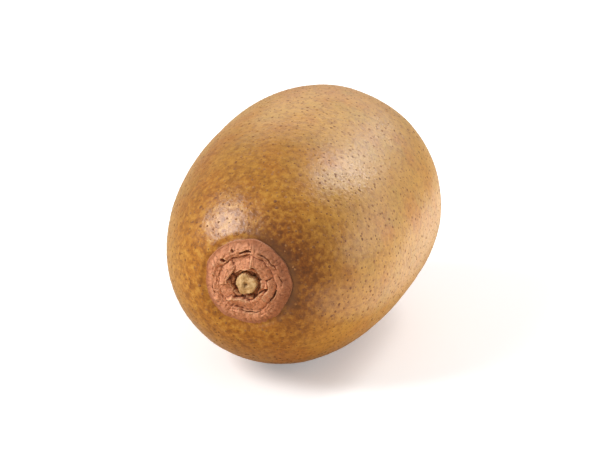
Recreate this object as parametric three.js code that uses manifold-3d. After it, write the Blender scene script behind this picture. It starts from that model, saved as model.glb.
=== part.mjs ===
// Golden kiwi fruit (Actinidia chinensis), whole, picked and ripe, lying on its side.
//
// Millimetres, +Z up. The fruit's long axis runs along Y, with the stem end at -Y and the
// blossom end at +Y. The origin is on the surface that the fruit lies on, below the middle
// of its bounding box.
//
// The fruit is one grown berry, so it is one solid. Three dried pieces of the old flower and
// stalk sit on its two ends:
//   calyx         the corky pad of five worn sepal bases round the stalk's scar
//   stem_stub     the pale woody end of the snapped stalk, in the middle of the calyx
//   dried_styles  the brown button of withered styles at the blossom end

import * as THREE from "three";
import { mergeVertices } from "three/addons/utils/BufferGeometryUtils.js";
import Module from "manifold-3d";

const wasm = await Module();
wasm.setup();

// ---------------------------------------------------------------------------------------
// Driving dimensions
// ---------------------------------------------------------------------------------------

const GAP = 0.3; // between two pieces that touch

// The berry: a barrel whose two halves are superellipses that meet at its widest ring.
const WIDTH = 52.5; // across X
const THICKNESS = 50; // across Z
const STEM_HALF = 44; // widest ring to the stem end's tip
const BLOSSOM_HALF = 27.5; // widest ring to the blossom end's tip
const STEM_FULLNESS = 2.7; // superellipse power: 2 is an ellipse, more is blunter
const BLOSSOM_FULLNESS = 2.9;
const BEND = { x: -0.2, z: 0.8 }; // how far the middle bows
const FOOT_DEPTH = 0.5; // how much the fruit's own weight flattens it where it lies

// Broad swellings round the berry: waves round it, their turn from end to end, start and size.
const SWELLINGS = [
  { waves: 1, turn: 0.9, start: 2.1, size: 0.003 },
  { waves: 2, turn: 2, start: 0.5, size: 0.0075 },
  { waves: 3, turn: -2, start: 1.15, size: 0.013 },
];

// Each end sinks a little round the piece that sits on it, and is flat beneath that piece. The
// middle of the flat is off the long axis by x and z.
const STEM_DIP = { x: -0.8, z: 2.6, depth: 0.95, flat: 9.4, blend: 15 };
const BLOSSOM_DIP = { x: 0, z: 0, depth: 0.75, flat: 3.3, blend: 8 };

const AROUND = 60; // facets round the berry
const ALONG = 42; // rings from end to end
const CROWD = 0.38; // how much closer the rings lie near the two ends

// The calyx: heights above its seat on the berry.
const CALYX_RADIUS = 9;
const RIM = { height: 0.75, rounding: 1.7 }; // at the calyx's edge
const COLLAR = { radius: 7.2, spread: 1.9, height: 0.95 }; // soft outer ring, above the rim
const FRILL = { radius: 4.4, spread: 1.1, height: 1.4 }; // torn inner ring, above the rim
const CUP = { radius: 3, wall: 0.85, floor: 0.8 }; // where the stalk's stub stands
const SEPALS = 5;
const SEPAL_EDGE = { outer: 6.3, inner: 5, width: 0.42, depth: 0.6 }; // step between two sepals
const WEAR = { twofold: 0.18, sevenfold: 0.12 }; // how far wear moves the frill and the steps
const CALYX_AROUND = 60;
const CALYX_RINGS = 16;

// The stub of the stalk.
const STUB_RADIUS = 2.1;
const STUB_HEIGHT = 1.5;
const STUB_PIT = { radius: 0.55, depth: 0.45 };
const STUB_BREAK = { threefold: 0.09, fivefold: 0.05, slope: 0.22 }; // how rough the break is
const STUB_AROUND = 20;

// The button of styles.
const BUTTON_RADIUS = 2.8;
const BUTTON_HEIGHT = 0.75;
const BUTTON_AROUND = 28;
const STYLE = { root: 0.34, tip: 0.11, sides: 5, rooted: 0.65 }; // radii; depth of its root
const STYLE_RINGS = [
  { count: 14, radius: 2.15, lean: 66, length: 1.75 },
  { count: 9, radius: 1.2, lean: 48, length: 1.4 },
];
const STYLE_SPREAD = { around: 0.5, lean: 16, length: 0.5 }; // how far chance moves each style

// ---------------------------------------------------------------------------------------
// Small tools
// ---------------------------------------------------------------------------------------

const smoothstep = THREE.MathUtils.smoothstep;

// A smooth bump of height 1 at distance 0, gone by about twice the spread.
const bump = (distance, spread) => Math.exp(-((distance / spread) ** 2));

// A repeatable random number from 0 to 1 for a whole number.
const chance = (n) => {
  const wave = Math.sin(n * 12.9898 + 4.1414) * 43758.5453;
  return wave - Math.floor(wave);
};

// Moves every vertex of a geometry to what the rule makes of it.
function reshape(geometry, rule) {
  const position = geometry.getAttribute("position");
  const point = new THREE.Vector3();
  for (let i = 0; i < position.count; i += 1) {
    rule(point.fromBufferAttribute(position, i));
    position.setXYZ(i, point.x, point.y, point.z);
  }
  return geometry;
}

// A three.js geometry as a manifold solid, and back.
function toSolid(geometry) {
  const bare = geometry.clone();
  bare.deleteAttribute("normal");
  bare.deleteAttribute("uv");
  const merged = mergeVertices(bare, 1e-4);
  return new wasm.Manifold(
    new wasm.Mesh({
      numProp: 3,
      vertProperties: new Float32Array(merged.getAttribute("position").array),
      triVerts: new Uint32Array(merged.index.array),
    }),
  );
}

function toGeometry(solid) {
  const mesh = solid.getMesh();
  const geometry = new THREE.BufferGeometry();
  const vertices = new Float32Array(mesh.vertProperties);
  geometry.setAttribute("position", new THREE.BufferAttribute(vertices, 3));
  geometry.setIndex(new THREE.BufferAttribute(new Uint32Array(mesh.triVerts), 1));
  geometry.computeVertexNormals();
  return geometry;
}

// ---------------------------------------------------------------------------------------
// The berry
// ---------------------------------------------------------------------------------------

// The plane, as a distance from the widest ring, that an end's own piece sits on.
function seatOf(half, fullness, dip) {
  const share = (dip.flat / (WIDTH / 2)) ** fullness;
  return half * (1 - share) ** (1 / fullness) - dip.depth;
}

// Where a direction from the berry's middle meets its skin.
function toSkin(point) {
  const side = Math.hypot(point.x, point.z);
  const around = Math.atan2(point.z, point.x);
  const even = Math.atan2(side, -point.y); // 0 at the stem end, PI at the blossom end
  const tilt = even - (CROWD / 2) * Math.sin(2 * even);
  const atStem = tilt < Math.PI / 2;
  const half = atStem ? STEM_HALF : BLOSSOM_HALF;
  const fullness = atStem ? STEM_FULLNESS : BLOSSOM_FULLNESS;
  const dip = atStem ? STEM_DIP : BLOSSOM_DIP;

  // The profile, from the middle: a superellipse of half the length by 1.
  const reach =
    (Math.abs(Math.cos(tilt)) ** fullness +
      Math.abs((half * Math.sin(tilt)) / (WIDTH / 2)) ** fullness) **
    (-1 / fullness);
  const wide = half * reach * Math.sin(tilt) * Math.cos(around);
  const high = (half * reach * Math.sin(tilt) * Math.sin(around) * THICKNESS) / WIDTH;
  const crown = half * reach * Math.abs(Math.cos(tilt));

  const clear = smoothstep(Math.hypot(wide - dip.x, high - dip.z), dip.flat, dip.blend);
  const along = THREE.MathUtils.lerp(seatOf(half, fullness, dip), crown, clear);

  let swell = 1;
  for (const { waves, turn, start, size } of SWELLINGS) {
    swell += size * Math.sin(tilt) ** 2 * Math.cos(waves * around + start + turn * Math.cos(tilt));
  }
  const bow = Math.sin(tilt) ** 2;
  point.x = wide * swell + BEND.x * bow;
  point.y = atStem ? -along : along;
  point.z = high * swell + BEND.z * bow;
}

// The berry with its foot cut flat, and the height of that foot.
function makeBerry() {
  const round = reshape(new THREE.SphereGeometry(1, AROUND, ALONG), toSkin);
  round.computeBoundingBox();
  const foot = round.boundingBox.min.z + FOOT_DEPTH;
  const below = new THREE.BoxGeometry(WIDTH, STEM_HALF + BLOSSOM_HALF, THICKNESS);
  below.translate(0, 0, foot - THICKNESS / 2);
  return { geometry: toGeometry(toSolid(round).subtract(toSolid(below))), foot };
}

// ---------------------------------------------------------------------------------------
// The calyx, in its own frame: +Y points out of the fruit, and y = 0 is its seat
// ---------------------------------------------------------------------------------------

// How far the calyx reaches, as a share of its radius: one low swell for each sepal.
const calyxReach = (around) =>
  1 + 0.018 * Math.cos(SEPALS * around + 0.6) + 0.014 * Math.cos(2 * around + 2);

// The height of the calyx above its seat.
function calyxTop(radius, around) {
  const turn = (SEPALS * around) / (2 * Math.PI);
  const sector = turn - Math.floor(turn); // 0 to 1 across one sepal
  const wear = WEAR.twofold * Math.sin(2 * around + 1) + WEAR.sevenfold * Math.sin(7 * around + 2);

  // Each sepal's free edge winds inwards over the next one, with a groove outside it.
  const edge = THREE.MathUtils.lerp(SEPAL_EDGE.outer, SEPAL_EDGE.inner, sector) + wear;
  const groove = bump(radius - edge, SEPAL_EDGE.width) * Math.sin(Math.PI * sector);

  const collar = COLLAR.height * bump(radius - COLLAR.radius, COLLAR.spread);
  const frill = (FRILL.height + wear) * bump(radius - FRILL.radius, FRILL.spread);
  const shoulder = smoothstep(CALYX_RADIUS - radius, 0, RIM.rounding);
  const top = RIM.height + shoulder * (collar + frill - SEPAL_EDGE.depth * groove);
  const wall = smoothstep(radius, CUP.radius - CUP.wall / 2, CUP.radius + CUP.wall / 2);
  return THREE.MathUtils.lerp(CUP.floor, top, wall);
}

function makeCalyx() {
  const profile = [new THREE.Vector2(0, GAP), new THREE.Vector2(CALYX_RADIUS - GAP, GAP)];
  for (let ring = CALYX_RINGS; ring >= 0; ring -= 1) {
    profile.push(new THREE.Vector2((CALYX_RADIUS * ring) / CALYX_RINGS, RIM.height));
  }
  const underneath = (GAP + RIM.height) / 2;
  return reshape(new THREE.LatheGeometry(profile, CALYX_AROUND), (point) => {
    const around = Math.atan2(point.z, point.x);
    if (point.y > underneath) point.y = calyxTop(Math.hypot(point.x, point.z), around);
    point.x *= calyxReach(around);
    point.z *= calyxReach(around);
  });
}

// ---------------------------------------------------------------------------------------
// The stub of the stalk, in the calyx's frame
// ---------------------------------------------------------------------------------------

function makeStub() {
  const base = CUP.floor + GAP;
  const top = base + STUB_HEIGHT;
  const profile = [
    [0, base],
    [STUB_RADIUS * 0.9, base],
    [STUB_RADIUS, base + STUB_HEIGHT * 0.3],
    [STUB_RADIUS * 0.97, base + STUB_HEIGHT * 0.75],
    [STUB_RADIUS * 0.78, top],
    [STUB_PIT.radius, top - 0.1],
    [STUB_PIT.radius * 0.5, top - STUB_PIT.depth],
    [0, top - STUB_PIT.depth],
  ].map(([x, y]) => new THREE.Vector2(x, y));
  return reshape(new THREE.LatheGeometry(profile, STUB_AROUND), (point) => {
    const around = Math.atan2(point.z, point.x);
    const ragged =
      1 +
      STUB_BREAK.threefold * Math.cos(3 * around + 0.4) +
      STUB_BREAK.fivefold * Math.cos(5 * around + 2.2);
    const high = (point.y - base) / STUB_HEIGHT;
    point.x *= ragged;
    point.z *= ragged;
    point.y += STUB_BREAK.slope * high * Math.sin(2 * around + 0.9);
  });
}

// ---------------------------------------------------------------------------------------
// The button of styles, in its own frame: +Y points out of the fruit, and y = 0 is its seat
// ---------------------------------------------------------------------------------------

function makeStyles() {
  const pad = new THREE.LatheGeometry(
    [
      [0, GAP],
      [BUTTON_RADIUS - 0.25, GAP],
      [BUTTON_RADIUS, GAP + 0.3],
      [BUTTON_RADIUS * 0.86, GAP + BUTTON_HEIGHT * 0.85],
      [BUTTON_RADIUS * 0.55, GAP + BUTTON_HEIGHT],
      [BUTTON_RADIUS * 0.2, GAP + BUTTON_HEIGHT * 0.8],
      [0, GAP + BUTTON_HEIGHT * 0.75],
    ].map(([x, y]) => new THREE.Vector2(x, y)),
    BUTTON_AROUND,
  );
  let solid = toSolid(pad);
  let n = 0;
  for (const { count, radius, lean, length } of STYLE_RINGS) {
    for (let i = 0; i < count; i += 1) {
      n += 1;
      const around = ((i + STYLE_SPREAD.around * chance(n)) / count) * 2 * Math.PI;
      const slope = lean + STYLE_SPREAD.lean * (chance(n + 50) - 0.5);
      const reach = length * (1 + STYLE_SPREAD.length * (chance(n + 100) - 0.5));
      const style = new THREE.CylinderGeometry(STYLE.tip, STYLE.root, reach, STYLE.sides);
      style.translate(0, reach / 2, 0);
      style.rotateZ(-THREE.MathUtils.degToRad(slope));
      style.translate(radius, GAP + BUTTON_HEIGHT * (1 - STYLE.rooted), 0);
      style.rotateY(around);
      solid = solid.add(toSolid(style));
    }
  }
  return toGeometry(solid);
}

// ---------------------------------------------------------------------------------------
// The whole fruit
// ---------------------------------------------------------------------------------------

function piece(name, geometry, color, roughness) {
  const material = new THREE.MeshStandardMaterial({ color, roughness, metalness: 0 });
  const mesh = new THREE.Mesh(geometry, material);
  mesh.name = name;
  return mesh;
}

const berry = makeBerry();
const fruit = piece("fruit", berry.geometry, 0xb98a3e, 0.5);

const stemEnd = new THREE.Group();
stemEnd.add(piece("calyx", makeCalyx(), 0xa96a4b, 0.9));
stemEnd.add(piece("stem_stub", makeStub(), 0xdcc08c, 0.8));
stemEnd.rotation.x = Math.PI; // +Y turns to -Y
stemEnd.position.set(STEM_DIP.x, -seatOf(STEM_HALF, STEM_FULLNESS, STEM_DIP), STEM_DIP.z);

const blossomEnd = new THREE.Group();
blossomEnd.add(piece("dried_styles", makeStyles(), 0x4a2c17, 0.9));
const blossomSeat = seatOf(BLOSSOM_HALF, BLOSSOM_FULLNESS, BLOSSOM_DIP);
blossomEnd.position.set(BLOSSOM_DIP.x, blossomSeat, BLOSSOM_DIP.z);

const kiwi = new THREE.Group();
kiwi.name = "golden_kiwi";
kiwi.add(fruit, stemEnd, blossomEnd);

// The foot goes down to z = 0, and the middle of the bounding box to x = 0 and y = 0.
const middle = new THREE.Box3().setFromObject(kiwi, true).getCenter(new THREE.Vector3());
kiwi.position.set(-middle.x, -middle.y, -berry.foot);

export default kiwi;
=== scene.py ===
"""A whole golden kiwi fruit, picked and ripe, lying on its side.

The stem end looks towards -Y and the blossom end towards +Y. Lengths are in metres.
"""

import math

import bpy
import numpy as np
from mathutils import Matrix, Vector


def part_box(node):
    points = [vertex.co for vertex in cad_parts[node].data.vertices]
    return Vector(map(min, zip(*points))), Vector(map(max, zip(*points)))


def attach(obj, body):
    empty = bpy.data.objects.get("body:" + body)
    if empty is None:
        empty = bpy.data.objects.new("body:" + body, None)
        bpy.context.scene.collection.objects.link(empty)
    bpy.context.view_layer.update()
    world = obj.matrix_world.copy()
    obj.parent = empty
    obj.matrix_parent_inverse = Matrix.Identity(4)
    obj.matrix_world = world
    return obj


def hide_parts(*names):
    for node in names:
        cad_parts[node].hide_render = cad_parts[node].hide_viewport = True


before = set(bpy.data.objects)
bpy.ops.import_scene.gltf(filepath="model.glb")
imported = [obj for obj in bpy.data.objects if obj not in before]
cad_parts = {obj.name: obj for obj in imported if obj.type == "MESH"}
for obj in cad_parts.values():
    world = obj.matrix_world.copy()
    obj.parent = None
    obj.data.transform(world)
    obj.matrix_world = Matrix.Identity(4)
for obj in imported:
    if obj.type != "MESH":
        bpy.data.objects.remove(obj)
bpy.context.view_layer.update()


# ---------------------------------------------------------------------------------------
# The berry
# One grown fruit, a barrel with blunt ends under a thin, tough, golden-brown skin. It is darker
# in a patch beside the calyx; a fainter band above that patch and a ring round the calyx's edge
# are painted shade. The fruit's own weight has pressed a flat spot under it.
# ---------------------------------------------------------------------------------------

MM = 0.001

WIDTH = 52.5 * MM
THICKNESS = 50 * MM
STEM_HALF, STEM_FULLNESS = 44 * MM, 2.7
BLOSSOM_HALF, BLOSSOM_FULLNESS = 27.5 * MM, 2.9
BEND_X, BEND_Z = -0.2 * MM, 0.8 * MM
FOOT_DEPTH, FOOT_ROUNDING, FOOT_REACH = 0.5 * MM, 0.12 * MM, 3 * MM
# Waves round the berry, their turns from end to end, their start, and their share of the radius.
SWELLINGS = ((1, 0.9, 2.1, 0.003), (2, 2, 0.5, 0.0075), (3, -2, 1.15, 0.013))
STEM_DIP, STEM_FLAT = 0.95 * MM, 9.4 * MM
STEM_HOLLOW, STEM_INNER, STEM_BLEND = 0.5 * MM, 7 * MM, 12 * MM
STEM_X, STEM_Z = -0.8 * MM, 2.6 * MM
BLOSSOM_DIP, BLOSSOM_FLAT, BLOSSOM_BLEND = 0.75 * MM, 3.3 * MM, 8 * MM
CROWDING = 0.38
BERRY_RINGS, BERRY_SIDES = 250, 360


def smooth(x, low, high):
    """0 below low and 1 above high, with three times the square less twice the cube between."""
    share = np.clip((x - low) / (high - low), 0, 1)
    return share * share * (3 - 2 * share)


def bump(x, spread):
    """A bell: the exponential of minus the square of x over the spread."""
    return np.exp(-((x / spread) ** 2))


def relief(points, size, seed):
    """Smooth random heights from -1 to 1: seeded values on the corners of cubes of that size,
    blended between the eight corners round each point by the smooth share of the way across."""
    table = np.random.default_rng(seed).uniform(-1, 1, 4096)
    cell = points / size
    corner = np.floor(cell).astype(np.int64)
    across = cell - corner
    across = across * across * (3 - 2 * across)
    total = np.zeros(points.shape[:-1])
    for step in np.ndindex(2, 2, 2):
        key = (corner + step) @ np.array([73856093, 19349663, 83492791])
        weight = np.prod(np.where(step, across, 1 - across), axis=-1)
        total += weight * table[(key ^ (key >> 11)) & 4095]
    return total


def seat(half, fullness, dip, flat):
    """How far from the widest ring an end is flat: the profile at the flat's edge, less the dip."""
    return half * (1 - (flat / (WIDTH / 2)) ** fullness) ** (1 / fullness) - dip


STEM_SEAT = seat(STEM_HALF, STEM_FULLNESS, STEM_DIP, STEM_FLAT)
BLOSSOM_SEAT = seat(BLOSSOM_HALF, BLOSSOM_FULLNESS, BLOSSOM_DIP, BLOSSOM_FLAT)


def berry_skin(tilt, around):
    """The skin where a ray from the middle meets it, tilt from the stem end and around from +X.
    The profile is a superellipse, fuller at the stem end. Each end blends smoothly into a flat
    hollow, which is a little off the axis at the stem end. Waves round the berry swell it by
    about 1 percent each, and its middle bows by the square of the tilt's sine."""
    stem = tilt < math.pi / 2
    half = np.where(stem, STEM_HALF, BLOSSOM_HALF)
    fullness = np.where(stem, STEM_FULLNESS, BLOSSOM_FULLNESS)
    inner = np.where(stem, STEM_INNER, BLOSSOM_FLAT)
    fade = np.where(stem, STEM_BLEND, BLOSSOM_BLEND)
    stem_level = STEM_SEAT + STEM_DIP - STEM_HOLLOW
    level = np.where(stem, stem_level, BLOSSOM_SEAT)
    side = np.abs(half * np.sin(tilt) / (WIDTH / 2))
    reach = half * (np.abs(np.cos(tilt)) ** fullness + side**fullness) ** (-1 / fullness)
    wide = reach * np.sin(tilt) * np.cos(around)
    high = reach * np.sin(tilt) * np.sin(around) * THICKNESS / WIDTH
    off_seat = np.hypot(wide - np.where(stem, STEM_X, 0), high - np.where(stem, STEM_Z, 0))
    along = level + (reach * np.abs(np.cos(tilt)) - level) * smooth(off_seat, inner, fade)
    swell = 1
    for waves, turn, start, size in SWELLINGS:
        wave = np.cos(waves * around + start + turn * np.cos(tilt))
        swell = swell + size * np.sin(tilt) ** 2 * wave
    bow = np.sin(tilt) ** 2
    x = wide * swell + BEND_X * bow
    y = np.where(stem, -along, along)
    z = high * swell + BEND_Z * bow
    return np.stack(np.broadcast_arrays(x, y, z), axis=-1)


def directions(rings, sides):
    """Tilts as a column and even turns round as a row. Each tilt is an even one less a share of
    the sine of twice itself, so that they crowd towards the two ends."""
    even = np.linspace(0, math.pi, rings + 2)[1:-1, None]
    turns = np.linspace(0, 2 * math.pi, sides, endpoint=False)[None, :]
    return even - CROWDING / 2 * np.sin(2 * even), turns


def outward(tilt, around, step=1e-3):
    """Unit normals of the berry: the cross product of its slopes along and around."""
    along = berry_skin(tilt + step, around) - berry_skin(tilt - step, around)
    round_ = berry_skin(tilt, around + step) - berry_skin(tilt, around - step)
    normal = np.cross(along, round_)
    return normal / np.linalg.norm(normal, axis=-1, keepdims=True)


def closed_mesh(name, rows):
    """A mesh of closed shells. The points of a shell's rows go once round, and each of its two
    end rows is closed by a fan of triangles to its own middle."""
    rows = rows.reshape(-1, *rows.shape[-3:])
    shells, rings, sides = rows.shape[:3]
    points = np.concatenate([rows.reshape(shells, -1, 3), rows[:, [0, -1]].mean(2)], axis=1)
    here = np.arange(sides)
    after = (here + 1) % sides
    start = (np.arange(rings - 1) * sides)[:, None]
    quads = np.stack([start + here, start + sides + here, start + sides + after, start + after], -1)
    last = (rings - 1) * sides
    middle = np.full(sides, rings * sides)
    fans = np.stack([[middle, here, after], [middle + 1, last + after, last + here]]).swapaxes(1, 2)
    first = (np.arange(shells) * (rings * sides + 2))[:, None, None]
    faces = (first + quads.reshape(-1, 4)).reshape(-1, 4).tolist()
    faces += (first + fans.reshape(-1, 3)).reshape(-1, 3).tolist()
    mesh = bpy.data.meshes.new(name)
    mesh.from_pydata(points.reshape(-1, 3).tolist(), [], faces)
    mesh.shade_smooth()
    made = bpy.data.objects.new(name, mesh)
    bpy.context.scene.collection.objects.link(made)
    return made


def write_attribute(piece, name, values):
    """Stores one number for each point of the rows, and each end's own mean for its middle."""
    ends = [values[0].mean(), values[-1].mean()]
    flat = np.concatenate([values.ravel(), ends]).astype(np.float32)
    piece.data.attributes.new(name, "FLOAT", "POINT").data.foreach_set("value", flat)


tilt, around = directions(BERRY_RINGS, BERRY_SIDES)
bare = berry_skin(tilt, around)
lowest, highest = (np.array(corner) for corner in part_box("fruit"))
FOOT = bare[..., 2].min() + FOOT_DEPTH
MIDDLE = (lowest[0] + highest[0] - bare[..., 0].min() - bare[..., 0].max()) / 2
PLACE = np.array([MIDDLE, highest[1] - bare[..., 1].max(), -FOOT])


def lie_down(points):
    """Puts the berry's own points where it lies. Its foot is pressed flat: a height above the
    floor becomes half the sum of itself and the root of its square and the rounding's square,
    less what that leaves at the lowest point, and fades back to itself within the foot's reach."""
    placed = points + PLACE
    height = placed[..., 2]
    pressed = (height + np.sqrt(height**2 + FOOT_ROUNDING**2)) / 2
    least = (np.sqrt(FOOT_DEPTH**2 + FOOT_ROUNDING**2) - FOOT_DEPTH) / 2
    pressed -= least * (1 - smooth(height, 0, FOOT_REACH))
    placed[..., 2] = np.where(height < FOOT_REACH, pressed, height)
    return placed


# Size, depth and seed of each cloud of hollows.
SKIN_CLOUDS = (
    (9 * MM, 0.13 * MM, 1),
    (3.4 * MM, 0.045 * MM, 2),
    (1.4 * MM, 0.022 * MM, 4),
    (0.7 * MM, 0.010 * MM, 5),
)
MOAT_RADIUS, MOAT_WIDTH, MOAT_DEPTH = 9.3 * MM, 0.6 * MM, 0.22 * MM
CREASES, CREASE_RADIUS, CREASE_REACH, CREASE_DEPTH = 19, 14 * MM, 4 * MM, 0.018 * MM
CREASE_WANDER, WANDER_SIZE = 2.5, 7 * MM
RELIEF_OFF_CALYX, RELIEF_OFF_STYLES = (2 * MM, 9 * MM), (1 * MM, 4 * MM)


def off_ends(points):
    """How far points of the skin are from the middle of the calyx and from that of the styles,
    across the long axis; 1 m for a point of the other half."""
    calyx = np.hypot(points[..., 0] - STEM_X, points[..., 2] - STEM_Z)
    styles = np.hypot(points[..., 0], points[..., 2])
    return np.where(points[..., 1] < 0, calyx, 1), np.where(points[..., 1] > 0, styles, 1)


def real_skin(tilt, around):
    """The skin with its relief. Clouds of hollows at four sizes, which fade out under the calyx
    and the styles, move it along its normals. Near the calyx a wave in the turn round it adds
    creases, and a bell round its edge makes a moat."""
    points = berry_skin(tilt, around)
    off_calyx, off_styles = off_ends(points)
    turn = np.arctan2(points[..., 2] - STEM_Z, points[..., 0] - STEM_X)
    creases = np.sin(CREASES * turn + CREASE_WANDER * relief(points, WANDER_SIZE, 3))
    height = sum(depth * relief(points, size, seed) for size, depth, seed in SKIN_CLOUDS)
    height += CREASE_DEPTH * creases * bump(off_calyx - CREASE_RADIUS, CREASE_REACH)
    height *= smooth(off_calyx, *RELIEF_OFF_CALYX) * smooth(off_styles, *RELIEF_OFF_STYLES)
    height -= MOAT_DEPTH * bump(off_calyx - MOAT_RADIUS, MOAT_WIDTH)
    return points + height[..., None] * outward(tilt, around)


# How far from its end, across the long axis, each tint is still whole, and where it is gone. The
# one round the calyx is painted shade.
CALYX_SHADE, STEM_STAIN, STYLE_STAIN = (9.3 * MM, 12.5 * MM), (10 * MM, 25 * MM), (2.5 * MM, 8 * MM)
PATCH_REACH, PATCH_TURN = (10 * MM, 19.5 * MM), math.radians(22)
# The band of painted shade: its turn on from the patch, its strength, and where it sets in and
# fades.
BAND_TURN, BAND_SHARE = math.radians(93), 0.35
BAND_START, BAND_END = (12 * MM, 18 * MM), (8 * MM, 20 * MM)
# The cosines of the turns from their middles at which both are gone, and whole.
PATCH_SIDES, BAND_SIDES = (0, 0.95), (0.35, 0.95)

berry = closed_mesh("golden_skin", lie_down(real_skin(tilt, around)))
off_calyx, off_styles = off_ends(bare)
# Painted shade in a ring round the calyx's edge.
write_attribute(berry, "near_calyx", 1 - smooth(off_calyx, *CALYX_SHADE))
write_attribute(berry, "stem_zone", 1 - smooth(off_calyx, *STEM_STAIN))
write_attribute(berry, "near_styles", 1 - smooth(off_styles, *STYLE_STAIN))
# A darker patch beside the calyx, and above it a fainter band of painted shade.
side = np.arctan2(bare[..., 2] - STEM_Z, bare[..., 0] - STEM_X) - PATCH_TURN
patch = (1 - smooth(off_calyx, *PATCH_REACH)) * smooth(np.cos(side), *PATCH_SIDES)
band = BAND_SHARE * smooth(off_calyx, *BAND_START) * smooth(-bare[..., 1], *BAND_END)
band = band * smooth(np.cos(side - BAND_TURN), *BAND_SIDES)
write_attribute(berry, "patch_and_shade", np.maximum(patch, band))


class Wire:
    """An output of a shader node. Python's operators on it add Math nodes to its finish."""

    def __init__(self, finish, output):
        self.finish = finish
        self.output = output

    def math(self, operation, *terms):
        return self.finish.node("ShaderNodeMath", {"operation": operation}, dict(enumerate(terms)))

    def __add__(self, other):
        return self.math("ADD", self, other)

    def __sub__(self, other):
        return self.math("SUBTRACT", self, other)

    def __abs__(self):
        return self.math("ABSOLUTE", self)

    def __mul__(self, other):
        return self.math("MULTIPLY", self, other)

    def __rsub__(self, other):
        return self.math("SUBTRACT", other, self)

    __radd__ = __add__
    __rmul__ = __mul__

    def between(self, low, high):
        """0 where this is below low, 1 where it is above high, and smooth between."""
        limits = {"Value": self, "From Min": low, "From Max": high}
        return self.finish.node("ShaderNodeMapRange", {"interpolation_type": "SMOOTHSTEP"}, limits)


class Finish:
    """A material in the making. Its keywords are numbers and colours of the whole surface, for
    the shader's sockets of those names."""

    def __init__(self, name, **constants):
        self.material = bpy.data.materials.new(name)
        self.material.use_nodes = True
        self.tree = self.material.node_tree
        self.shader = self.tree.nodes["Principled BSDF"]
        for socket, value in constants.items():
            self.feed(self.shader.inputs[socket.replace("_", " ")], value)

    def feed(self, socket, value):
        """Links a wire to a socket, or sets the socket to a number or colour."""
        if isinstance(value, Wire):
            self.tree.links.new(value.output, socket)
        else:
            socket.default_value = value

    def node(self, kind, settings=(), sockets=(), output=0):
        """Adds a node of that kind, with its settings first and then its sockets."""
        made = self.tree.nodes.new(kind)
        for name, value in dict(settings).items():
            setattr(made, name, value)
        for key, value in dict(sockets).items():
            self.feed(made.inputs[key], value)
        return Wire(self, made.outputs[output])

    def attribute(self, name):
        """The number of that name which each point of the mesh holds."""
        return self.node("ShaderNodeAttribute", {"attribute_name": name}, output="Fac")

    def cloud(self, size, detail=3, roughness=0.55):
        """Soft random patches of about that size, from 0 to 1 round a mean of one half."""
        place = self.node("ShaderNodeTexCoord", output="Object")
        sockets = {"Vector": place, "Scale": 1 / size, "Detail": detail, "Roughness": roughness}
        return self.node("ShaderNodeTexNoise", (), sockets)

    def blend(self, share, first, second):
        """The first colour where the share is 0, and the second where it is 1."""
        sockets = {0: share, 6: first, 7: second}
        return self.node("ShaderNodeMix", {"data_type": "RGBA"}, sockets, output=2)

    def finish(self, colour, roughness=None, *reliefs):
        """Feeds the shader. Each relief is a height from 0 to 1 and what 1 is in metres."""
        self.feed(self.shader.inputs["Base Color"], colour)
        if roughness is not None:
            self.feed(self.shader.inputs["Roughness"], roughness)
        normal = None
        for height, depth in reliefs:
            sockets = {"Height": height, "Distance": depth, "Strength": 1}
            if normal:
                sockets["Normal"] = normal
            normal = self.node("ShaderNodeBump", (), sockets)
        if normal:
            self.feed(self.shader.inputs["Normal"], normal)
        return self.material


GOLDEN = (0.55, 0.272, 0.036, 1)
OLIVE = (0.49, 0.270, 0.040, 1)
RUSSET = (0.49, 0.170, 0.010, 1)
TAN = (0.72, 0.38, 0.060, 1)
BARK = (0.30, 0.100, 0.006, 1)
UMBER = (0.15, 0.055, 0.015, 1)
PATCH_AND_SHADE_BROWN = (0.23, 0.062, 0.004, 1)
AMBER = (0.58, 0.225, 0.020, 1)
DARKENED_FLECK = (0.13, 0.036, 0.004, 1)
BLOOM = (1.0, 0.93, 0.82, 1)
RUSSET_SIZE, OLIVE_SIZE, MOTTLE_SIZE, NETTING_SIZE = 11 * MM, 6.5 * MM, 1.25 * MM, 0.45 * MM
PEEL_SIZE, PEEL_DEPTH = 1.0 * MM, 0.11 * MM

skin = Finish("golden_skin", Sheen_Weight=0.15, Sheen_Roughness=0.3, Sheen_Tint=BLOOM, IOR=1.56)
stem_zone = skin.attribute("stem_zone")
patch_and_shade = skin.attribute("patch_and_shade")
colour = skin.blend(skin.cloud(RUSSET_SIZE, 4).between(0.42, 0.68) * 0.7, GOLDEN, RUSSET)
colour = skin.blend(skin.cloud(OLIVE_SIZE, 4).between(0.46, 0.68) * 0.7, colour, OLIVE)
colour = skin.blend(stem_zone * 0.85, colour, RUSSET)
# The patch darkens the colour, and so does the band above it, which is painted shade.
colour = skin.blend(patch_and_shade * 0.95, colour, PATCH_AND_SHADE_BROWN)
mottle = skin.cloud(MOTTLE_SIZE, 3, 0.65)
fleck = 0.4 + 0.5 * stem_zone
# Flecks in the patch and in the painted shade above it take darker colours too.
pale = skin.blend(patch_and_shade, TAN, AMBER)
colour = skin.blend(mottle.between(0.48, 0.66) * fleck * 0.75, colour, pale)
dark = skin.blend(patch_and_shade, BARK, DARKENED_FLECK)
colour = skin.blend((1 - mottle).between(0.5, 0.64) * fleck, colour, dark)
netting = skin.cloud(NETTING_SIZE, 4, 0.65)
colour = skin.blend(netting.between(0.5, 0.68) * 0.4, colour, dark)
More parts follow.
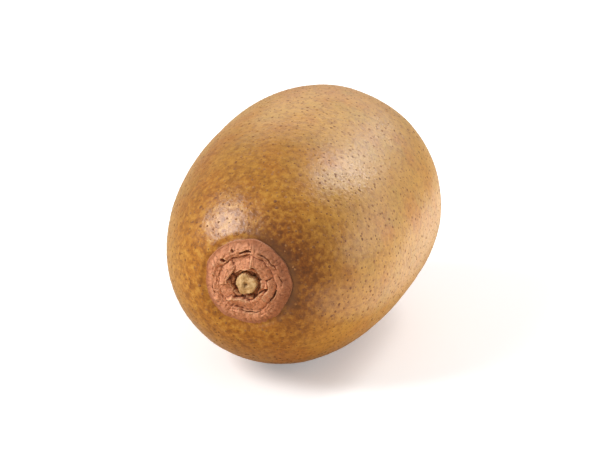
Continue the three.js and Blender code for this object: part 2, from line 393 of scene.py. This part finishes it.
# Painted shade in a ring round the calyx, strongest beside the darker patch.
colour = skin.blend(skin.attribute("near_calyx") * (0.12 + 0.75 * patch_and_shade), colour, UMBER)
colour = skin.blend(skin.attribute("near_styles") * 0.6, colour, UMBER)
peel = skin.cloud(PEEL_SIZE, 4, 0.65)
berry.data.materials.append(skin.finish(colour, 0.27 + 0.12 * netting, (peel, PEEL_DEPTH)))
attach(berry, "root")
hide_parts("fruit")


# ---------------------------------------------------------------------------------------
# The lenticels
# Tiny corky pores, spread evenly over the whole skin and grown into it. Each one is a low dome
# with a hidden base, darker than the skin round it. There are none under the calyx and styles.
# ---------------------------------------------------------------------------------------

LENTICELS, LENTICEL_SIDES = 5200, 8
# Radius and height of a dome's two rings, and how far its corners stray, as shares of its size.
LENTICEL_FOOT, LENTICEL_TOP = (0.27 * MM, -0.03 * MM), (0.13 * MM, 0.022 * MM)
RAGGED = (0.84, 1.16)
ASKEW = (0.31, 0.17, 0.93)
OFF_CALYX, OFF_STYLES, OFF_FLOOR = 9.9 * MM, 3.2 * MM, 0.05 * MM


def even_spread(count, seed):
    """Places spread evenly over the berry: the golden angle from each to the next, and equal
    strips of skin, measured on the bare profile, with random shifts of about a quarter of a
    space."""
    chance = np.random.default_rng(seed)
    tilts = np.linspace(0.02, math.pi - 0.02, 800)
    profile = berry_skin(tilts, 0.0)
    slant = np.linalg.norm(np.diff(profile, axis=0), axis=1)
    strips = np.concatenate([[0], np.cumsum(slant * np.abs(profile[1:, 0] + profile[:-1, 0]))])
    place = (np.arange(count) + 0.5) / count + chance.normal(0, 0.3 / math.sqrt(count), count)
    turn = np.arange(count) * math.pi * (3 - math.sqrt(5)) + chance.normal(0, 0.016, count)
    return np.interp(np.clip(place, 0, 1), strips / strips[-1], tilts), turn


def studs(middle, normal, sizes, *rings, sides):
    """Little closed rings of points round each middle, on spokes at right angles to the normal.
    A radius is multiplied by the stud's own size, and a ragged share at each corner. A height
    goes along the normal. The points go the way that turns the faces outwards."""
    across = np.cross(normal, ASKEW)
    across /= np.linalg.norm(across, axis=-1, keepdims=True)
    over = np.cross(across, normal)
    turn = np.arange(sides)[:, None] * 2 * math.pi / sides
    spoke = across[:, None] * np.cos(turn) + over[:, None] * np.sin(turn)
    ragged = np.random.default_rng(13).uniform(*RAGGED, (len(middle), sides, 1))
    sizes = sizes[:, None, None] * ragged
    rows = [
        middle[:, None] + sizes * radius * spoke + height * normal[:, None]
        for radius, height in rings
    ]
    return np.stack(rows, axis=1)


pore_tilt, pore_turn = even_spread(LENTICELS, 11)
off_calyx, off_styles = off_ends(berry_skin(pore_tilt, pore_turn))
open_skin = (off_calyx > OFF_CALYX) & (off_styles > OFF_STYLES)
pore_tilt, pore_turn = pore_tilt[open_skin], pore_turn[open_skin]
pore_size = np.random.default_rng(12).lognormal(-0.1, 0.33, pore_tilt.size).clip(0.4, 1.6)
pore_rows = studs(
    lie_down(real_skin(pore_tilt, pore_turn)),
    outward(pore_tilt, pore_turn),
    pore_size,
    LENTICEL_FOOT,
    LENTICEL_TOP,
    sides=LENTICEL_SIDES,
)
clear_of_floor = pore_rows[..., 2].min((1, 2)) > OFF_FLOOR
lenticels = closed_mesh("lenticels", pore_rows[clear_of_floor])

PORE_DARK = (0.22, 0.080, 0.018, 1)
PORE_PALE = (0.40, 0.175, 0.050, 1)
PORE_PATCHES = 3 * MM

pore = Finish("lenticel_cork", Roughness=0.62)
share = pore.cloud(PORE_PATCHES, 2).between(0.35, 0.65)
lenticels.data.materials.append(pore.finish(pore.blend(share, PORE_DARK, PORE_PALE)))
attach(lenticels, "root")


# ---------------------------------------------------------------------------------------
# The calyx
# The dry, corky pad left where the flower's sepals were, grown fast to the stem end. Its five
# worn sepals make a smooth outer collar, and torn inner flaps lean over a cup in the middle.
# ---------------------------------------------------------------------------------------

CALYX_RADIUS = 9 * MM
CALYX_RINGS, CALYX_SIDES = 140, 540
# Radius and height of the rings under the calyx and up its side, in millimetres.
CALYX_SIDE = (
    (0.5, -0.15),
    (6.0, -0.15),
    (8.6, -0.15),
    (8.93, -0.08),
    (9.06, 0.15),
    (9.10, 0.4),
    (9.07, 0.62),
)
RIM, SHOULDER = 0.75 * MM, 1.7 * MM
# The collar's height in millimetres, and where it is highest and how wide in metres.
COLLAR_HEIGHT, COLLAR_RADIUS, COLLAR_SPREAD = 0.90, 7.1 * MM, 2.2 * MM
CUP_FLOOR, CUP_EDGE = 0.45 * MM, (2.3 * MM, 3.0 * MM)
DEEPEST_CUT = 0.8 * MM
SEPALS = 5
# Middle and half width in turns; outer and edge radius and height in millimetres; slant.
FLAPS = (
    (0.03, 0.095, 6.4, 4.4, 1.50, 0.30),
    (0.15, 0.090, 7.0, 3.5, 1.20, -0.35),
    (0.29, 0.115, 6.4, 3.7, 1.45, 0.30),
    (0.44, 0.085, 7.4, 3.2, 1.15, 0.25),
    (0.56, 0.100, 6.6, 3.9, 1.50, -0.30),
    (0.70, 0.110, 6.1, 3.3, 1.25, 0.35),
    (0.86, 0.105, 6.5, 3.8, 1.45, -0.30),
    (0.99, 0.050, 5.6, 2.9, 1.05, 0.40),
    (0.08, 0.050, 4.1, 2.8, 0.95, 0.30),
    (0.22, 0.060, 4.4, 2.6, 0.80, -0.30),
    (0.36, 0.050, 4.0, 2.7, 1.05, 0.40),
    (0.52, 0.055, 4.2, 2.8, 0.75, 0.30),
    (0.66, 0.045, 3.9, 2.7, 0.60, 0.20),
    (0.80, 0.060, 4.1, 2.7, 0.95, -0.40),
)
# Middle in turns, radius in millimetres; half width in turns and in millimetres; depth.
SLITS = (
    (0.055, 6.25, 0.045, 0.26, 1.05),
    (0.230, 6.35, 0.070, 0.16, 0.65),
    (0.360, 5.70, 0.035, 0.14, 0.50),
    (0.455, 7.60, 0.022, 0.20, 0.35),
    (0.610, 6.90, 0.009, 0.60, 0.75),
    (0.680, 7.60, 0.008, 0.45, 0.55),
    (0.745, 6.70, 0.035, 0.32, 0.80),
    (0.860, 7.20, 0.055, 0.20, 0.75),
    (0.965, 7.30, 0.020, 0.14, 0.40),
)


def calyx_reach(around):
    """How far the calyx reaches, as a share of its radius: one plus waves of four lengths."""
    broad = 0.018 * np.cos(SEPALS * around + 0.6) + 0.014 * np.cos(2 * around + 2)
    return 1 + broad + 0.008 * np.sin(9 * around + 1) + 0.006 * np.sin(14 * around + 3)


def flap(radius, around, middle, half_width, outer, edge, height, slant):
    """One torn flap. It climbs from its outer radius as a quarter sine wave, curls up a little
    and drops at its free edge, which waves, fades at its two sides, and slants across."""
    off = (around / (2 * math.pi) - middle + 0.5) % 1 - 0.5
    across = off / half_width
    free = (edge + 0.45 * across**2 + 0.15 * np.sin(5 * across + 40 * middle)) * MM
    climb = np.clip((outer * MM - radius) / (outer * MM - free), 0, 1)
    lift = np.sin(math.pi / 2 * climb) + 0.12 * climb**6
    inside = smooth(radius, free - 0.32 * MM, free + 0.05 * MM)
    side = 1 - smooth(np.abs(across), 0.72, 1.05)
    return height * MM * (1 + slant * across) * lift * inside * side


def calyx_top(radius, around):
    """The calyx's height over its seat: a rim, and over it the greatest of a rounded collar and
    the flaps. Slits cut it, and clouds, terraces, wrinkles and pleats roughen it. Inside the
    cup's edge it drops to the cup's floor. Random drifts of its radius and turn by a few tenths
    of a millimetre keep every edge uneven."""
    radius, around = np.broadcast_arrays(radius, around)
    spot = np.stack([radius * np.cos(around), 0 * radius, radius * np.sin(around)], -1)
    shoulder = smooth(CALYX_RADIUS - radius, 0, SHOULDER)
    strayed = radius + (0.30 * relief(spot, 1.7 * MM, 21) + 0.10 * relief(spot, 0.6 * MM, 22)) * MM
    turn = around + 0.32 * MM / np.maximum(radius, MM) * relief(spot, 1.5 * MM, 27)
    inner = smooth(strayed, 5.6 * MM, 6.3 * MM)
    collar = COLLAR_HEIGHT * bump(strayed - COLLAR_RADIUS, COLLAR_SPREAD)
    collar = collar + 0.16 * relief(spot, 2.4 * MM, 28)
    layers = [collar * MM * inner] + [flap(strayed, turn, *each) for each in FLAPS]
    layers = np.maximum.reduce(layers) * shoulder
    cut = 0
    for middle, away, half_turn, half_width, depth in SLITS:
        off = (turn / (2 * math.pi) - middle + 0.5) % 1 - 0.5
        shape = bump(strayed - away * MM, half_width * MM) * bump(off, half_turn)
        cut = cut + depth * MM * smooth(shape, 0.25, 0.75)
    terraces = np.sin(strayed / (0.12 * MM)) * smooth(relief(spot, 1.6 * MM, 29), -0.2, 0.4)
    wrinkles = np.sin(33 * turn + 5 * relief(spot, 2.2 * MM, 25)) * relief(spot, 2.8 * MM, 34)
    pleats = np.sin(41 * turn + 4 * relief(spot, 1.8 * MM, 35)) * bump(radius - 8.3 * MM, MM)
    rough = 0.13 * relief(spot, 1.1 * MM, 23) + 0.08 * relief(spot, 0.45 * MM, 24)
    rough += 0.05 * relief(spot, 0.22 * MM, 36) + 0.07 * terraces + 0.07 * wrinkles + 0.10 * pleats
    open_cup = smooth(strayed, *CUP_EDGE)
    top = RIM + layers + (rough * MM - np.minimum(cut, DEEPEST_CUT)) * shoulder
    return CUP_FLOOR + (top - CUP_FLOOR) * open_cup + 0.05 * MM * relief(spot, 0.6 * MM, 26)


def hollowness(height, depth):
    """How far a height lies below its neighbours, from 1 for a hollow to -1 for a ridge: the
    mean over a few cells round it less itself, over a depth."""
    near = np.zeros_like(height)
    steps = [(row, col) for row in range(-4, 5, 2) for col in range(-6, 7, 3)]
    for row, col in steps:
        moved = np.roll(height, col, axis=1)
        rows = np.clip(np.arange(len(height)) + row, 0, len(height) - 1)
        near += moved[rows] / len(steps)
    return np.clip((near - height) / depth, -1, 1)


def on_stem_seat(radius, around, height):
    """Points over the stem end's seat, where heights point out of the fruit, towards -Y."""
    x = STEM_X + radius * np.cos(around)
    y = -STEM_SEAT - height
    z = STEM_Z - radius * np.sin(around)
    return np.stack(np.broadcast_arrays(x, y, z), -1) + PLACE


turns = np.linspace(0, 2 * math.pi, CALYX_SIDES, endpoint=False)[None, :]
inwards = CALYX_RADIUS * (1 - np.linspace(0, 0.985, CALYX_RINGS)[:, None])
tops = calyx_top(inwards, turns)
side_radius, side_height = (np.array(column)[:, None] * MM for column in zip(*CALYX_SIDE))
radii = np.concatenate([side_radius, inwards]) * calyx_reach(turns)
heights = np.concatenate([side_height + 0 * turns, tops])
calyx = closed_mesh("calyx_cork", on_stem_seat(radii, turns, heights))

# Depth of a whole hollow; heights that are not low and quite low, and how far out; where the
# painted shade of one side and of the edge sets in and is whole, and the side's turn.
HOLLOW_DEPTH = 0.28 * MM
NOT_LOW, LOW, LOW_REACH = 1.5 * MM, 0.6 * MM, 7 * MM
SIDE_SHADE, SIDE_TURN = (4.5 * MM, 8.5 * MM), math.radians(18)
EDGE_SHADE, EDGE_SHARE = (7.9 * MM, 8.9 * MM), 0.75

bare_side = 0 * side_height + 0 * turns
# These numbers set painted shade in the calyx's hollows and low middle, and a painted highlight on
# its ridges.
low = smooth(tops, NOT_LOW, LOW) * (inwards < LOW_REACH)
write_attribute(calyx, "hollow", np.concatenate([bare_side, hollowness(tops, HOLLOW_DEPTH)]))
write_attribute(calyx, "deep", np.concatenate([bare_side, low]))
# Painted shade on the calyx's right side, away from the light, and round its edge.
side_shade = smooth(radii, *SIDE_SHADE) * smooth(np.cos(turns + SIDE_TURN), 0.1, 0.9)
edge_shade = EDGE_SHARE * smooth(radii, *EDGE_SHADE)
write_attribute(calyx, "calyx_shade", np.maximum(side_shade, edge_shade))

SEPAL_PINK = (0.86, 0.385, 0.200, 1)
SEPAL_BROWN = (0.68, 0.265, 0.120, 1)
SEPAL_EDGE = (0.88, 0.50, 0.26, 1)
SEPAL_SPECK_AND_SHADE = (0.34, 0.105, 0.035, 1)
CREVICE_SHADE = (0.23, 0.070, 0.028, 1)
BLOTCH_SIZE, FLECK_SIZE, SPECK_SIZE = 2.6 * MM, 0.6 * MM, 0.25 * MM
WRINKLE_SIZE, WRINKLE_DEPTH = 1.6 * MM, 0.08 * MM
GRAIN_SIZE, GRAIN_DEPTH = 0.35 * MM, 0.12 * MM

cork = Finish("calyx_cork", Sheen_Weight=0.15, Sheen_Roughness=0.5)
blotch = cork.cloud(BLOTCH_SIZE, 4, 0.6).between(0.36, 0.64)
colour = cork.blend(blotch, SEPAL_PINK, SEPAL_BROWN)
fleck = cork.cloud(FLECK_SIZE, 3, 0.6).between(0.45, 0.62)
colour = cork.blend(fleck * 0.45, colour, SEPAL_BROWN)
speck = cork.cloud(SPECK_SIZE, 2, 0.6).between(0.54, 0.68)
colour = cork.blend(speck * 0.4, colour, SEPAL_SPECK_AND_SHADE)
# Ridges are painted paler, a painted highlight.
proud = (cork.attribute("hollow") * -1).between(0.15, 0.8)
colour = cork.blend(proud * 0.8, colour, SEPAL_EDGE)
# Painted shade on the right side and round the edge. The same brown also colours real specks.
colour = cork.blend(cork.attribute("calyx_shade") * 0.72, colour, SEPAL_SPECK_AND_SHADE)
wrinkle = abs(cork.cloud(WRINKLE_SIZE, 1, 0.5) - 0.5).between(0, 0.09)
# Painted shade along the wrinkles, in the cup's low middle and in the hollows.
colour = cork.blend((1 - wrinkle) * 0.22, colour, CREVICE_SHADE)
colour = cork.blend(cork.attribute("deep") * 0.35, colour, CREVICE_SHADE)
colour = cork.blend(cork.attribute("hollow").between(0.05, 0.6) * 0.75, colour, CREVICE_SHADE)
grain = cork.cloud(GRAIN_SIZE, 4, 0.65)
reliefs = ((grain, GRAIN_DEPTH), (wrinkle, WRINKLE_DEPTH))
calyx.data.materials.append(cork.finish(colour, 0.62 + 0.25 * grain, *reliefs))
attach(calyx, "root")
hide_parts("calyx")


# ---------------------------------------------------------------------------------------
# The stem stub
# The pale woody end of the stalk, which snapped off in the middle of the calyx. Its side is
# fibrous, and its broken top is lumpy, with a small pit where the pith was.
# ---------------------------------------------------------------------------------------

STUB_RADIUS, STUB_BASE, STUB_TOP = 2.1 * MM, 0.35 * MM, 2.55 * MM
STUB_SIDES, STUB_SIDE_RINGS, STUB_TOP_RINGS = 150, 16, 30
PIT_RADIUS, PIT_DEPTH = 0.42 * MM, 0.55 * MM


def stub_reach(around, height):
    """The stub's radius: three and five broad corners, and fibres that wander as they climb."""
    broad = 1 + 0.09 * np.cos(3 * around + 0.4) + 0.05 * np.cos(5 * around + 2.2)
    fibres = 0.022 * np.sin(27 * around + 4 * np.sin(3 * around + height / (0.5 * MM)))
    return STUB_RADIUS * (broad + fibres)


def stub_top(share, around):
    """The broken top: a dome that slopes, with clouds of lumps and splinters and a pit."""
    spot = np.stack([share * np.cos(around), 0 * share + 0 * around, share * np.sin(around)], -1)
    dome = STUB_TOP - 0.32 * MM * share**3 + 0.22 * MM * share * np.sin(2 * around + 0.9)
    lumps = 0.26 * relief(spot, 0.75, 31) + 0.11 * relief(spot, 0.3, 32)
    lumps += 0.05 * relief(spot, 0.14, 33)
    off_pit = np.hypot(spot[..., 0] - 0.05, spot[..., 2] + 0.1)
    return dome + lumps * MM - PIT_DEPTH * bump(off_pit, PIT_RADIUS / STUB_RADIUS)


turns = np.linspace(0, 2 * math.pi, STUB_SIDES, endpoint=False)[None, :]
edge_height = stub_top(np.ones((1, 1)), turns)
climb = np.linspace(0, 1, STUB_SIDE_RINGS)[:, None]
side_height = STUB_BASE + (edge_height - 0.1 * MM - STUB_BASE) * climb
waist = 0.93 + 0.07 * np.sin(math.pi * climb) + 0.02 * climb
side_radius = stub_reach(turns, side_height) * waist
shares = np.linspace(0.94, 0.02, STUB_TOP_RINGS)[:, None]
radii = np.concatenate([side_radius[:1] * 0.4, side_radius, shares * stub_reach(turns, STUB_TOP)])
heights = np.concatenate([side_height[:1], side_height, stub_top(shares, turns)])
stub = closed_mesh("stem_wood", on_stem_seat(radii, turns, heights))
# Painted shade in the pit and at the stub's foot.
in_pit = np.concatenate([0 * climb[:1], 0 * climb, bump(shares, 0.26)])
below = np.concatenate([1 - climb[:1], 1 - climb, 0 * shares])
write_attribute(stub, "pit", in_pit + 0 * turns)
write_attribute(stub, "below", below + 0 * turns)

CREAM = (0.80, 0.53, 0.25, 1)
STRAW = (0.60, 0.34, 0.12, 1)
STUB_SHADE = (0.26, 0.13, 0.05, 1)
STRAW_SIZE, FIBRE_SIZE, FIBRE_DEPTH = 0.8 * MM, 0.2 * MM, 0.08 * MM

wood = Finish("stem_wood", Sheen_Weight=0.1)
colour = wood.blend(wood.cloud(STRAW_SIZE, 4, 0.6).between(0.42, 0.66), CREAM, STRAW)
# Painted shade in the pit and towards the foot.
colour = wood.blend(wood.attribute("pit") * 0.8, colour, STUB_SHADE)
colour = wood.blend(wood.attribute("below") * 0.85, colour, STUB_SHADE)
fibre = wood.cloud(FIBRE_SIZE, 3, 0.6)
stub.data.materials.append(wood.finish(colour, 0.7 + 0.2 * fibre, (fibre, FIBRE_DEPTH)))
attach(stub, "root")
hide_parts("stem_stub")


# ---------------------------------------------------------------------------------------
# The dried styles
# The withered stalks of the flower's stigmas, still standing in a small scarred pad at the
# blossom end. They are dark, thin and brittle, and they splay and curl outwards.
# ---------------------------------------------------------------------------------------

PAD_RADIUS, PAD_RINGS, PAD_SIDES = 2.8 * MM, 24, 96
PAD_SUNK, PAD_EDGE, PAD_DOME, PAD_LUMPS = 0.12 * MM, 0.3 * MM, 0.42 * MM, 0.10 * MM
STYLES, STYLE_RINGS, STYLE_SIDES = 46, 12, 8
STYLE_ROOT, STYLE_TIP, STYLE_SPACE = 0.27 * MM, 0.09 * MM, 0.38 * MM
STYLE_START, STYLE_LOWEST, STYLE_TIP_RISE = 0.45 * MM, 0.32 * MM, 0.5 * MM


def on_blossom_seat(points):
    """Points given as x, height and z over the blossom end's seat, which looks towards +Y."""
    return points + np.array([0, BLOSSOM_SEAT, 0]) + PLACE


def withered_styles(count, seed):
    """Closed tubes on a spiral of roots, each the golden angle on from the last. Their middles
    start in the pad, lean out and curl on along a parabola, but never dip into the pad. They
    thin towards the tip, with a knob near its end, and small waves pinch and twist them."""
    chance = np.random.default_rng(seed)
    number = np.arange(count)
    root = STYLE_SPACE * np.sqrt(number + 0.3)
    turn = number * math.pi * (3 - math.sqrt(5)) + chance.normal(0, 0.12, count)
    lean = np.radians(8 + 60 * root / root.max() + chance.normal(0, 7, count))
    length = chance.uniform(1.15, 1.95, count) * MM * (0.75 + 0.25 * root / root.max())
    curl = chance.uniform(0.0, 0.5, count)
    sideways = chance.normal(0, 0.16, count)
    along = np.linspace(0, 1, STYLE_RINGS)[:, None]
    out = root + length * (np.sin(lean) * along + curl * along**2 * np.cos(lean))
    up = STYLE_START + length * (np.cos(lean) * along - curl * along**2 * np.sin(lean))
    up = np.maximum(up, STYLE_LOWEST + STYLE_TIP_RISE * along)
    bend = turn + sideways * along**2 + 0.05 * np.sin(9 * along + number)
    middle = np.stack([out * np.cos(bend), up, out * np.sin(bend)], -1).swapaxes(0, 1)
    ahead = np.gradient(middle, axis=1)
    ahead /= np.linalg.norm(ahead, axis=-1, keepdims=True)
    across = np.cross(ahead, np.stack([-np.sin(turn), 0.3 + 0 * turn, np.cos(turn)], -1)[:, None])
    across /= np.linalg.norm(across, axis=-1, keepdims=True)
    over = np.cross(across, ahead)
    thick = STYLE_ROOT + (STYLE_TIP - STYLE_ROOT) * along[:, 0] ** 0.7
    thick = thick * (1 + 0.18 * np.sin(11 * along[:, 0] + number[:, None]))
    thick *= 1 + 0.9 * bump(along[:, 0] - 0.93, 0.06)
    ring = np.arange(STYLE_SIDES)[:, None] * 2 * math.pi / STYLE_SIDES
    spoke = across[:, :, None] * np.cos(ring) + over[:, :, None] * np.sin(ring) * 0.7
    return middle[:, :, None] + thick[..., None, None] * spoke


turns = np.linspace(0, 2 * math.pi, PAD_SIDES, endpoint=False)[None, :]
shares = np.linspace(1, 0.03, PAD_RINGS)[:, None]
spot = np.stack([shares * np.cos(turns), 0 * shares * turns, shares * np.sin(turns)], -1)
pad_height = PAD_EDGE + (1 - shares**4) * PAD_DOME + PAD_LUMPS * relief(spot, 0.3, 41)
pad_radius = PAD_RADIUS * shares * (1 + 0.05 * np.sin(9 * turns + 2 * np.sin(2 * turns)))
pad_radius = np.concatenate([0.3 * pad_radius[:1], 0.97 * pad_radius[:1], pad_radius])
pad_height = np.concatenate([0 * turns - PAD_SUNK, 0 * turns - PAD_SUNK, pad_height])
pad_rows = np.stack([pad_radius * np.cos(turns), pad_height, -pad_radius * np.sin(turns)], -1)
pad = closed_mesh("style_pad", on_blossom_seat(pad_rows[:, ::-1]))
styles = closed_mesh("withered_styles", on_blossom_seat(withered_styles(STYLES, 43)))

STYLE_DARK = (0.045, 0.020, 0.010, 1)
STYLE_TAN = (0.20, 0.095, 0.040, 1)
PAD_BROWN = (0.16, 0.065, 0.025, 1)
HUSK_STREAK, HUSK_DEPTH = 0.5 * MM, 0.06 * MM
SCAR_STREAK, SCAR_DEPTH = 0.45 * MM, 0.1 * MM

husk = Finish("withered_styles", Sheen_Weight=0.1)
streak = husk.cloud(HUSK_STREAK, 4, 0.6)
colour = husk.blend(streak.between(0.38, 0.66), STYLE_DARK, STYLE_TAN)
husk_finish = husk.finish(colour, 0.7, (streak, HUSK_DEPTH))
scar = Finish("style_scar")
streak = scar.cloud(SCAR_STREAK, 4, 0.6)
colour = scar.blend(streak.between(0.35, 0.65), PAD_BROWN, STYLE_DARK)
scar_finish = scar.finish(colour, 0.8, (streak, SCAR_DEPTH))
for part, finish in ((styles, husk_finish), (pad, scar_finish)):
    part.data.materials.append(finish)
    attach(part, "root")
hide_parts("dried_styles")


# ---------------------------------------------------------------------------------------
# The floor, the lights and the camera
# A white floor. A soft light in front on the left makes the first highlight, and a tall one
# behind on the right the second. Two wide walls of light and a low card brighten the back, the
# right side and the skin near the floor, and a dim world leaves the front darker.
# ---------------------------------------------------------------------------------------

FLOOR_HALF = 0.35
TARGET = Vector((0, 0, 0.0245))
CAMERA_AZIMUTH, CAMERA_ELEVATION, CAMERA_DISTANCE, CAMERA_LENS = 16.4, 23, 0.7, 200
WORLD_LIGHT = 0.315
BACKDROP_GREY, BACKDROP_RISE = 0.82, (-0.062, -0.010)
FLOOR_WHITE, FLOOR_BOUNCE, FLOOR_GLOW = (0.95, 0.95, 0.95, 1), (0.66, 0.50, 0.32, 1), 0.3
BLACK, WHITE = (0, 0, 0, 1), (1, 1, 1, 1)
# Azimuth and elevation in degrees; distance, width and height in metres; power in watts.
SOFTBOXES = (
    ("left_softbox", -60, 38, 0.8, 0.42, 0.40, 5.6),
    ("back_softbox", 149, 44, 0.9, 0.17, 0.55, 3.2),
    ("far_wall", 174, 26, 1.2, 1.7, 0.6, 3.2),
    ("right_wall", 110, 11, 1.0, 1.0, 0.6, 3.7),
)
CARD_WIDTH, CARD_LENGTH, CARD_POWER = 0.08, 0.20, 0.055
CARD_PLACE = Vector((0.072, 0.03, 0.001))


def towards(azimuth, elevation):
    """The direction from the fruit out to an azimuth, which is 0 in front, and an elevation: the
    azimuth's sine and minus its cosine, both times the elevation's cosine, and then its sine."""
    turn, rise = math.radians(azimuth), math.radians(elevation)
    return Vector(
        (math.sin(turn) * math.cos(rise), -math.cos(turn) * math.cos(rise), math.sin(rise))
    )


def facing_fruit(direction):
    """The turn that points -Z, which lights and cameras look along, back down a direction."""
    return direction.to_track_quat("Z", "Y").to_euler()


def glowing_panel(name, width, height, power):
    """A flat rectangular light of that size, at the origin and shining down."""
    light = bpy.data.lights.new(name, "AREA")
    light.shape = "RECTANGLE"
    light.size, light.size_y = width, height
    light.energy = power
    panel = bpy.data.objects.new(name, light)
    bpy.context.scene.collection.objects.link(panel)
    return panel


floor_mesh = bpy.data.meshes.new("floor")
corners = [(x * FLOOR_HALF, y * FLOOR_HALF, 0) for x, y in ((-1, -1), (1, -1), (1, 1), (-1, 1))]
floor_mesh.from_pydata(corners, [], [(0, 1, 2, 3)])
floor = bpy.data.objects.new("floor", floor_mesh)
bpy.context.scene.collection.objects.link(floor)
paper = Finish("paper", Roughness=0.9, Emission_Strength=FLOOR_GLOW)
to_camera = paper.node("ShaderNodeLightPath", output="Is Camera Ray")
paper.feed(paper.shader.inputs["Emission Color"], paper.blend(to_camera, BLACK, FLOOR_WHITE))
floor_mesh.materials.append(paper.finish(paper.blend(to_camera, FLOOR_BOUNCE, FLOOR_WHITE)))

for name, azimuth, elevation, distance, width, height, power in SOFTBOXES:
    softbox = glowing_panel(name, width, height, power)
    softbox.location = TARGET + distance * towards(azimuth, elevation)
    softbox.rotation_euler = facing_fruit(towards(azimuth, elevation))
card = glowing_panel("floor_card", CARD_WIDTH, CARD_LENGTH, CARD_POWER)
card.location = CARD_PLACE
card.rotation_euler = (math.pi, 0, 0)
card.visible_camera = False


class Surroundings(Finish):
    """The world in the making. It makes and links its nodes as a finish does."""

    def __init__(self, name):
        self.world = bpy.data.worlds.new(name)
        self.world.use_nodes = True
        self.tree = self.world.node_tree
        self.shader = self.tree.nodes["Background"]


# The camera sees a white backdrop that fades to grey above the floor's edge. It gives no light.
room = Surroundings("studio")
direction = room.node("ShaderNodeTexCoord", output="Generated")
rise = room.node("ShaderNodeSeparateXYZ", (), {0: direction}, output="Z")
backdrop = 1 - rise.between(*BACKDROP_RISE) * (1 - BACKDROP_GREY)
seen = room.node("ShaderNodeLightPath", output="Is Camera Ray")
room.feed(room.shader.inputs["Color"], WHITE)
room.feed(room.shader.inputs["Strength"], seen * backdrop + (1 - seen) * WORLD_LIGHT)
bpy.context.scene.world = room.world

camera = bpy.data.objects.new("camera", bpy.data.cameras.new("camera"))
camera.data.lens = CAMERA_LENS
camera.location = TARGET + CAMERA_DISTANCE * towards(CAMERA_AZIMUTH, CAMERA_ELEVATION)
camera.rotation_euler = facing_fruit(towards(CAMERA_AZIMUTH, CAMERA_ELEVATION))
bpy.context.scene.collection.objects.link(camera)
bpy.context.scene.camera = camera
bpy.context.scene.view_settings.view_transform = "Standard"
